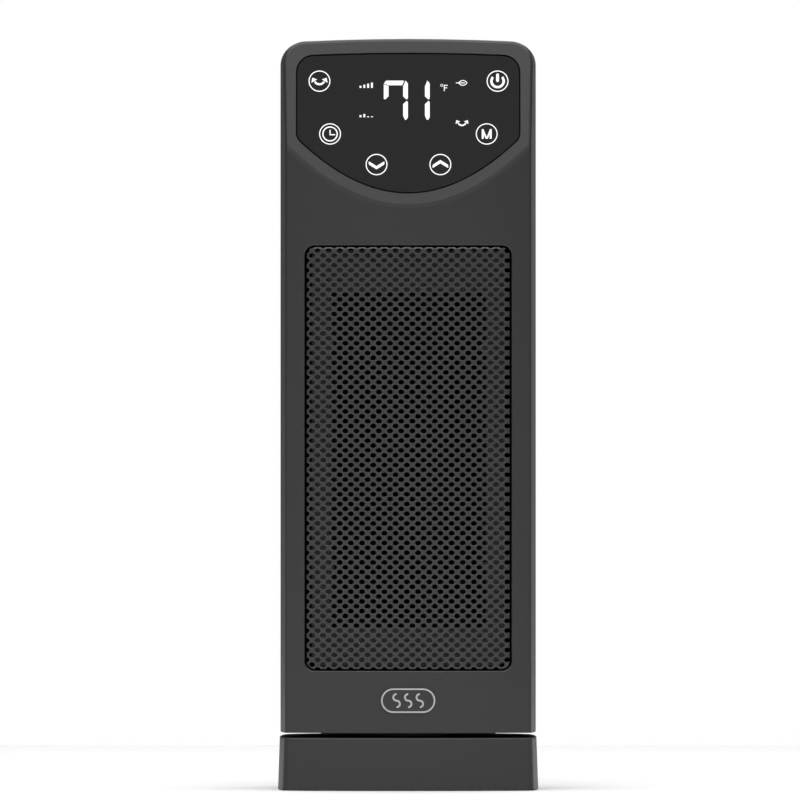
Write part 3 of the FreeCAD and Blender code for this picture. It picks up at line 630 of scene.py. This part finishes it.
class HEATER_OT_outlet_grille(Operator):
    """Perforated outlet sheet: one holed cell, repeated, trimmed to its outline and bent to the front"""
    bl_idname = "heater.outlet_grille"
    bl_label = "Outlet grille"

    def execute(self, context):
        sizes = context.scene.heater_grille
        cell = self.make_cell(sizes)
        sheet = self.repeat(cell, sizes)
        low, high = (Vector(corner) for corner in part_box("outlet_grille"))
        self.trim(sheet, low, high, sizes)
        bend_to_front(sheet, FRONT_R - GRILLE_SUNK, low.y)
        tidy_mesh(sheet, smooth=math.radians(40))
        finish(sheet, "tower", MATERIALS["abs_grille"], ("outlet_grille",))
        return {"FINISHED"}

    def make_cell(self, sizes):
        """A diamond with a hole: front face, rounded mouth, wall and back face."""
        half_x, half_z = sizes.pitch / 2, sizes.row_step
        hole_x, hole_z = sizes.hole_width / 2, sizes.hole_height / 2
        edge, back = sizes.hole_round, sizes.thickness
        loops = [(4, half_x, half_z, 0), (12, hole_x + edge, hole_z + edge, 0), (12, hole_x, hole_z, edge),
                 (12, hole_x, hole_z, back), (4, half_x, half_z, back)]
        outlines = []
        for sides, radius_x, radius_z, y in loops:
            bpy.ops.mesh.primitive_circle_add(vertices=sides, radius=1, location=(0, y, 0),
                                              rotation=(math.pi / 2, 0, 0))
            outline = bpy.context.object
            outline.scale = (radius_x, radius_z, 1)
            apply_place(outline)
            outlines.append(outline)
        bands = []
        for first, second in zip(outlines[:-1], outlines[1:]):
            band = join("band", [duplicate(first), duplicate(second)])
            bpy.ops.object.mode_set(mode="EDIT")
            bpy.ops.mesh.select_all(action="SELECT")
            bpy.ops.mesh.bridge_edge_loops()
            bpy.ops.object.mode_set(mode="OBJECT")
            bands.append(band)
        for outline in outlines:
            bpy.data.objects.remove(outline)
        cell = join("outlet_grille_sheet", bands)
        bpy.ops.object.mode_set(mode="EDIT")
        bpy.ops.mesh.select_all(action="SELECT")
        bpy.ops.mesh.remove_doubles(threshold=0.000002)
        bpy.ops.mesh.normals_make_consistent(inside=False)
        bpy.ops.object.mode_set(mode="OBJECT")
        return cell

    def repeat(self, cell, sizes):
        """Lays the diamonds out in staggered rows and closes the outer edge."""
        twin = duplicate(cell)
        twin.location = (sizes.pitch / 2, 0, sizes.row_step)
        apply_place(twin)
        sheet = join("outlet_grille_sheet", [cell, twin])
        apply_modifier(sheet, "ARRAY", use_relative_offset=False, use_constant_offset=True,
                       count=sizes.columns, constant_offset_displace=(sizes.pitch, 0, 0))
        apply_modifier(sheet, "ARRAY", use_relative_offset=False, use_constant_offset=True,
                       count=sizes.rows + 1, constant_offset_displace=(0, 0, 2 * sizes.row_step))
        sheet.location.x = sizes.middle - sizes.pitch * sizes.columns / 2
        sheet.location.z = sizes.top_row - 2 * sizes.row_step * sizes.rows
        apply_place(sheet)
        bpy.ops.object.mode_set(mode="EDIT")
        bpy.ops.mesh.select_all(action="SELECT")
        bpy.ops.mesh.remove_doubles(threshold=0.000005)
        bpy.ops.mesh.select_all(action="DESELECT")
        bpy.ops.mesh.select_mode(type="EDGE")
        bpy.ops.mesh.select_non_manifold()
        bpy.ops.mesh.bridge_edge_loops()
        bpy.ops.mesh.select_mode(type="VERT")
        bpy.ops.mesh.select_all(action="SELECT")
        bpy.ops.mesh.normals_make_consistent(inside=False)
        bpy.ops.object.mode_set(mode="OBJECT")
        return sheet

    def trim(self, sheet, low, high, sizes):
        """Cuts the sheet to a rounded rectangle with a sloping rim."""
        radius = FRONT_R - GRILLE_SUNK
        half = radius * math.asin((high.x - low.x) / 2 / radius)
        height, depth = high.z - low.z, 0.02
        bpy.ops.mesh.primitive_cube_add(size=1, location=(0, depth / 2 + sizes.rim_depth,
                                                          (low.z + high.z) / 2))
        cutter = bpy.context.object
        cutter.scale = (2 * half, depth, height)
        apply_place(cutter)
        select_edges(cutter, [edge.index for edge in cutter.data.edges
                              if abs(edge_direction(cutter, edge).y) > 0.9])
        bpy.ops.object.mode_set(mode="EDIT")
        bpy.ops.mesh.bevel(offset=sizes.corner, segments=8)
        bpy.ops.object.mode_set(mode="OBJECT")
        select_points(cutter, lambda co: co.y < depth / 2)
        bpy.ops.mesh.select_mode(type="FACE")
        bpy.ops.mesh.extrude_region_move(TRANSFORM_OT_translate={"value": (0, -2 * sizes.rim_depth, 0)})
        bpy.ops.transform.resize(value=(1 - 2 * sizes.rim_width / half, 1, 1 - 4 * sizes.rim_width / height))
        bpy.ops.mesh.select_mode(type="VERT")
        bpy.ops.object.mode_set(mode="OBJECT")
        apply_modifier(sheet, "BOOLEAN", operation="INTERSECT", solver="MANIFOLD", object=cutter)
        bpy.data.objects.remove(cutter)


class HEATER_OT_lens_joint_shade(Operator):
    """Near-black strip at the foot of the joint round the lens, painted shade for the dark in that joint"""
    bl_idname = "heater.lens_gasket"
    bl_label = "Lens joint shade"

    def execute(self, context):
        # Painted shade: a near-black strip in the lens joint makes the joint dark all round
        shade_strip = self.lens_block("lens_gasket", grow=0.0010, near=0.0010, far=0.0023)
        core = self.lens_block("lens_core", grow=0.00005, near=0.0002, far=0.0031)
        apply_modifier(shade_strip, "BOOLEAN", operation="DIFFERENCE", solver="MANIFOLD", object=core)
        bpy.data.objects.remove(core)
        tidy_mesh(shade_strip, gap=0.000002)
        lay_on_control_face(shade_strip, 0)
        finish(shade_strip, "tower", MATERIALS["joint_shade_black"])
        return {"FINISHED"}

    def lens_block(self, name, grow, near, far):
        """The lens outline in a flat drawing, grown all round, between two depths."""
        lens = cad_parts["control_lens"]
        block = duplicate(lens)
        block.matrix_world = lean_back().inverted() @ lens.matrix_world
        apply_place(block)
        tidy_mesh(block)
        low, high = extent(block)
        size, middle = high - low, (high + low) / 2
        grown = Matrix.Diagonal((1 + 2 * grow / size.x, (far - near) / size.y, 1 + 2 * grow / size.z, 1))
        place = Matrix.Translation((middle.x, (near + far) / 2, middle.z))
        block.matrix_world = place @ grown @ Matrix.Translation(-middle)
        apply_place(block)
        return named(name)


class HEATER_OT_key_signs(Operator):
    """Six ringed touch-key signs on the lens"""
    bl_idname = "heater.key_signs"
    bl_label = "Key signs"

    def execute(self, context):
        sizes = context.scene.heater_signs
        keys = {
            "sign_oscillate": (-0.0651, 0.5206, self.oscillate),
            "sign_timer": (-0.0573, 0.4817, self.timer),
            "sign_down": (-0.0232, 0.4592, self.down),
            "sign_up": (0.0236, 0.4592, self.up),
            "sign_mode": (0.0576, 0.4817, self.mode),
            "sign_power": (0.0656, 0.5206, self.power),
        }
        for name, (u, z, drawing) in keys.items():
            v = up_face(z)
            print_on_lens(name, [ring(u, v, sizes.ring_radius, sizes.line)] + drawing(u, v, sizes))
        return {"FINISHED"}

    def oscillate(self, u, v, sizes):
        return swing_arrows(u, v, 1.0)

    def timer(self, u, v, sizes):
        hand = sizes.line * 1.1
        return [ring(u, v, 0.0057, 1.25 * sizes.line),
                bar(u, v - 0.0006 - hand / 2, u, v + 0.0031, hand),
                bar(u + hand / 2, v - 0.0006, u + 0.0037, v - 0.0006, hand)]

    def down(self, u, v, sizes):
        return [chevron(u, v - 0.0024, 0.0058, 0.0037, sizes.stroke)]

    def up(self, u, v, sizes):
        return [chevron(u, v + 0.0022, 0.0058, -0.0037, sizes.stroke)]

    def mode(self, u, v, sizes):
        half, rise, post = 0.0029, 0.0036, 0.0015
        posts = [bar(u + side * half, v - rise, u + side * half, v + rise, post) for side in (-1, 1)]
        slants = []
        for side in (-1, 1):
            slant = bar(u + side * (half + 0.0011), v + rise + 0.0022,
                        u - side * 0.0008, v - rise - 0.0022, 0.0012)
            inner, keep = u + side * (half - post / 2), (u + side * half / 2, v)
            trim(slant, (u - 1, v + rise), (u + 1, v + rise), keep)
            trim(slant, (u - 1, v - rise), (u + 1, v - rise), keep)
            trim(slant, (u, v - 1), (u, v + 1), (u + side, v))
            trim(slant, (inner, v - 1), (inner, v + 1), (u, v))
            slants.append(slant)
        return posts + slants

    def power(self, u, v, sizes):
        return [arc(u, v, 0.0045, 0.0018, 138, 264),
                bar(u, v - 0.0007, u, v + 0.0058, 0.0021, ends="round")]


class HEATER_OT_display(Operator):
    """Two lit digits, the degree unit, heat-level bars, a leaf and a swing sign"""
    bl_idname = "heater.display"
    bl_label = "Display"

    def execute(self, context):
        sizes = context.scene.heater_signs
        height, width = sizes.digit_height, sizes.digit_stroke
        foot = up_face(0.4922)
        tens = self.seven(-0.0179, -0.0002, foot, height, width)
        units = self.right_bars(0.0158, foot, height, width)
        print_on_lens("display_digits", tens + units)
        print_on_lens("display_marks", self.unit_mark() + self.level_bars() + self.leaf()
                      + swing_arrows(0.0395, up_face(0.4899), 0.8))
        return {"FINISHED"}

    def seven(self, left, right, foot, height, width):
        """The top and upper left bars of a digit, with the two right ones."""
        head = foot + height
        middle = foot + height / 2 + 0.0005
        gap = 0.0007
        top = bar(left, head - width / 2, right - width * 0.75, head - width / 2, width)
        keep = ((left + right) / 2, head - width / 2)
        trim(top, (left + width * 0.5, head), (left, head - width * 0.62), keep)
        trim(top, (left, head - width * 0.62), (left + width, head - width), keep)
        trim(top, (right - width * 1.2, head - width), (right - width * 0.8, head), keep)
        upper = bar(left + width / 2, middle, left + width / 2, head, width)
        keep = (left + width / 2, (middle + head) / 2)
        trim(upper, (left + width, head - width - gap * 0.6), (left, head - width * 0.62 - gap), keep)
        trim(upper, (left + width * 0.28, middle), (left + width, middle + width * 0.7), keep)
        trim(upper, (left, middle + width * 0.2), (left + width * 0.28, middle), keep)
        return [top, upper] + self.right_bars(right, foot, height, width)

    def right_bars(self, right, foot, height, width):
        """The two bars on a digit's right side, pointed where they meet other bars."""
        head = foot + height
        middle = foot + height / 2 + 0.0005
        centre, left = right - width / 2, right - width
        upper = bar(centre, middle, centre, head, width)
        keep = (centre, (middle + head) / 2)
        trim(upper, (centre, head), (left, head - width * 1.25), keep)
        trim(upper, (right, head - width * 0.6), (centre, head), keep)
        trim(upper, (left, middle + width * 0.68), (right - width * 0.28, middle), keep)
        trim(upper, (right - width * 0.28, middle), (right, middle + width * 0.25), keep)
        top = middle - 0.001
        lower = bar(centre, foot, centre, top, width)
        keep = (centre, (foot + top) / 2)
        trim(lower, (right - width * 0.25, top), (left, top - width * 0.7), keep)
        trim(lower, (right, top - width * 0.25), (right - width * 0.25, top), keep)
        trim(lower, (left, foot + width * 0.85), (left + width * 0.38, foot), keep)
        trim(lower, (right - width * 0.3, foot), (right, foot + width * 0.55), keep)
        return [upper, lower]

    def unit_mark(self):
        v = up_face(0.5133)
        line = 0.00062
        return [ring(0.0246, v + 0.0043, 0.0010, 0.00035),
                bar(0.0265, v, 0.0265, v + 0.0047, line),
                bar(0.0265 + line / 2, v + 0.0043, 0.0290, v + 0.0043, line * 0.9),
                bar(0.0265 + line / 2, v + 0.0024, 0.0286, v + 0.0024, line * 0.9)]

    def level_bars(self):
        """Four rising bars for high heat, and one with three low stubs for low heat."""
        parts = []
        for z, lit in ((0.5156, 4), (0.4940, 2)):
            v = up_face(z)
            for step in range(4):
                rise = 0.0016 + 0.0008 * step if step < lit else 0.0007
                u = -0.0350 + step * 0.0028
                parts.append(bar(u, v, u, v + rise, 0.0014))
        return parts

    def leaf(self):
        """A pointed leaf between two arcs, with its stalk."""
        v = up_face(0.5193)
        reach, radius, line = 0.0030, 0.0034, 0.0006
        drop = math.sqrt(radius ** 2 - reach ** 2)
        half = math.degrees(math.asin(reach / radius))
        upper = arc(0.0401, v - drop, radius, line, 90 - half, 2 * half, steps=16)
        lower = arc(0.0401, v + drop, radius, line, 270 - half, 2 * half, steps=16)
        return [upper, lower, bar(0.0350, v, 0.0416, v, line)]


class HEATER_OT_badge_lines(Operator):
    """Printed rim and three heat waves on the oval badge"""
    bl_idname = "heater.badge_lines"
    bl_label = "Badge lines"

    def execute(self, context):
        low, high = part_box("badge")
        middle = (low[2] + high[2]) / 2
        line = 0.0011
        half_h = (high[2] - low[2]) / 2 - line
        straight = (high[0] - low[0]) / 2 - line - half_h
        strokes = [bar(-straight, middle + side * half_h, straight, middle + side * half_h, line)
                   for side in (-1, 1)]
        strokes.append(arc(straight, middle, half_h, line, -90, 180))
        strokes.append(arc(-straight, middle, half_h, line, 90, 180))
        for u in (-0.0085, 0.0, 0.0085):
            strokes += [arc(u, middle + 0.0024, 0.0024, 0.0013, 90, 180, steps=16),
                        arc(u, middle - 0.0024, 0.0024, 0.0013, 90, -180, steps=16)]
        lines = join("badge_lines", strokes)
        self.divide(lines)
        face_toward_front(lines)
        apply_modifier(lines, "SOLIDIFY", thickness=0.00012, offset=1.0)
        tidy_mesh(lines, gap=0.000001)
        bend_to_front(lines, FRONT_R + 0.0007, low[1])
        finish(lines, "tower", MATERIALS["silver_ink"])
        return {"FINISHED"}

    def divide(self, piece):
        """Cuts the long straight strokes across, so that they can bend with the front."""
        edit(piece)
        for u in range(-10, 11, 2):
            bpy.ops.mesh.select_all(action="SELECT")
            bpy.ops.mesh.bisect(plane_co=(u * MM, 0, 0), plane_no=(1, 0, 0))
        bpy.ops.object.mode_set(mode="OBJECT")


# ---------------------------------------------------------------- studio

def soft_light(name, place, aim, size, power, size_y=None):
    """A large area light that points at a spot."""
    lamp = bpy.data.lights.new(name, "AREA")
    lamp.energy = power
    lamp.size = size
    if size_y:
        lamp.shape = "RECTANGLE"
        lamp.size_y = size_y
    light = bpy.data.objects.new(name, lamp)
    bpy.context.scene.collection.objects.link(light)
    light.location = place
    light.rotation_euler = (Vector(aim) - Vector(place)).to_track_quat("-Z", "Y").to_euler()
    return light


class HEATER_OT_studio(Operator):
    """Pale floor, soft lights and the camera"""
    bl_idname = "heater.studio"
    bl_label = "Studio"

    def execute(self, context):
        sizes = context.scene.heater_studio
        scene = context.scene
        scene.view_settings.view_transform = "Standard"
        self.floor()
        self.air(scene)
        soft_light("overhead_softbox", (0, 0, 3.0), (0, 0, 0), 5.0, 185)
        soft_light("front_softbox", (-0.15, -2.5, 2.7), (0, 0, 0.3), 2.6, 44, size_y=1.2)
        soft_light("wide_fill", (-0.8, -11.0, 1.6), (0, 0, 0.4), 11.0, 70, size_y=2.5)
        soft_light("back_left", (-1.8, 3.0, 0.6), (0, 0, 0.3), 1.2, 1.0, size_y=1.4)
        soft_light("back_right", (1.8, 3.0, 0.6), (0, 0, 0.3), 1.2, 3.6, size_y=1.4)
        lens = bpy.data.cameras.new("camera")
        lens.sensor_width = 36
        lens.lens = 36 * sizes.camera_distance / sizes.view_width
        lens.clip_end = 100
        camera = bpy.data.objects.new("camera", lens)
        scene.collection.objects.link(camera)
        camera.location = (sizes.camera_x, FRONT_Y - sizes.camera_distance, sizes.camera_z)
        camera.rotation_euler = (math.pi / 2, 0, 0)
        scene.camera = camera
        return {"FINISHED"}

    def air(self, scene):
        """White to the camera, and dim to everything else, as a white wall far behind would be."""
        world = bpy.data.worlds.new("studio_air")
        world.use_nodes = True
        tree = world.node_tree
        tree.nodes.clear()
        sight = add_node(tree, "ShaderNodeLightPath").outputs["Is Camera Ray"]
        dim = add_node(tree, "ShaderNodeBackground", {"Strength": 0.06})
        white = add_node(tree, "ShaderNodeBackground", {"Strength": 1.0})
        for light in (dim, white):
            light.inputs["Color"].default_value = (1, 1, 1, 1)
        mix = add_node(tree, "ShaderNodeMixShader", {0: sight, 1: dim.outputs[0], 2: white.outputs[0]})
        add_node(tree, "ShaderNodeOutputWorld", {"Surface": mix.outputs[0]})
        scene.world = world

    def floor(self):
        deselect()
        bpy.ops.mesh.primitive_grid_add(x_subdivisions=8, y_subdivisions=8, size=3, location=(0, 0, 0))
        floor = named("studio_floor")
        material, tree, shader, place = start_material("painted_studio_floor")
        speckle = add_node(tree, "ShaderNodeTexNoise", {"Vector": place, "Scale": 30.0})
        tone = mix_colours(tree, speckle.outputs["Fac"], linear("#f0f0f0"), linear("#f4f4f4"))
        tree.links.new(tone, shader.inputs["Base Color"])
        shader.inputs["Roughness"].default_value = 0.9
        floor.data.materials.append(material)


class HEATER_PT_panel(Panel):
    """Lists the pieces and their settings"""
    bl_label = "Ceramic Tower Heater"
    bl_space_type = "VIEW_3D"
    bl_region_type = "UI"
    bl_category = "Heater"

    def draw(self, context):
        for group in ("heater_colours", "heater_grille", "heater_signs", "heater_studio"):
            settings = getattr(context.scene, group)
            box = self.layout.box()
            for key in settings.__annotations__:
                box.prop(settings, key)
        for step in STEPS:
            self.layout.operator(step.bl_idname)


STEPS = (HEATER_OT_finish_cad, HEATER_OT_outlet_grille, HEATER_OT_lens_joint_shade, HEATER_OT_key_signs,
         HEATER_OT_display, HEATER_OT_badge_lines, HEATER_OT_studio)
GROUPS = {"heater_colours": FinishColours, "heater_grille": GrilleSizes, "heater_signs": SignSizes,
          "heater_studio": StudioSizes}


def register():
    for group in GROUPS.values():
        bpy.utils.register_class(group)
    for step in STEPS:
        bpy.utils.register_class(step)
    bpy.utils.register_class(HEATER_PT_panel)
    for name, group in GROUPS.items():
        setattr(bpy.types.Scene, name, PointerProperty(type=group))


def unregister():
    for name in GROUPS:
        delattr(bpy.types.Scene, name)
    bpy.utils.unregister_class(HEATER_PT_panel)
    for step in reversed(STEPS):
        bpy.utils.unregister_class(step)
    for group in GROUPS.values():
        bpy.utils.unregister_class(group)


def main():
    register()
    for step in STEPS:
        section, action = step.bl_idname.split(".")
        deselect()
        getattr(getattr(bpy.ops, section), action)()


if __name__ == "__main__":
    main()
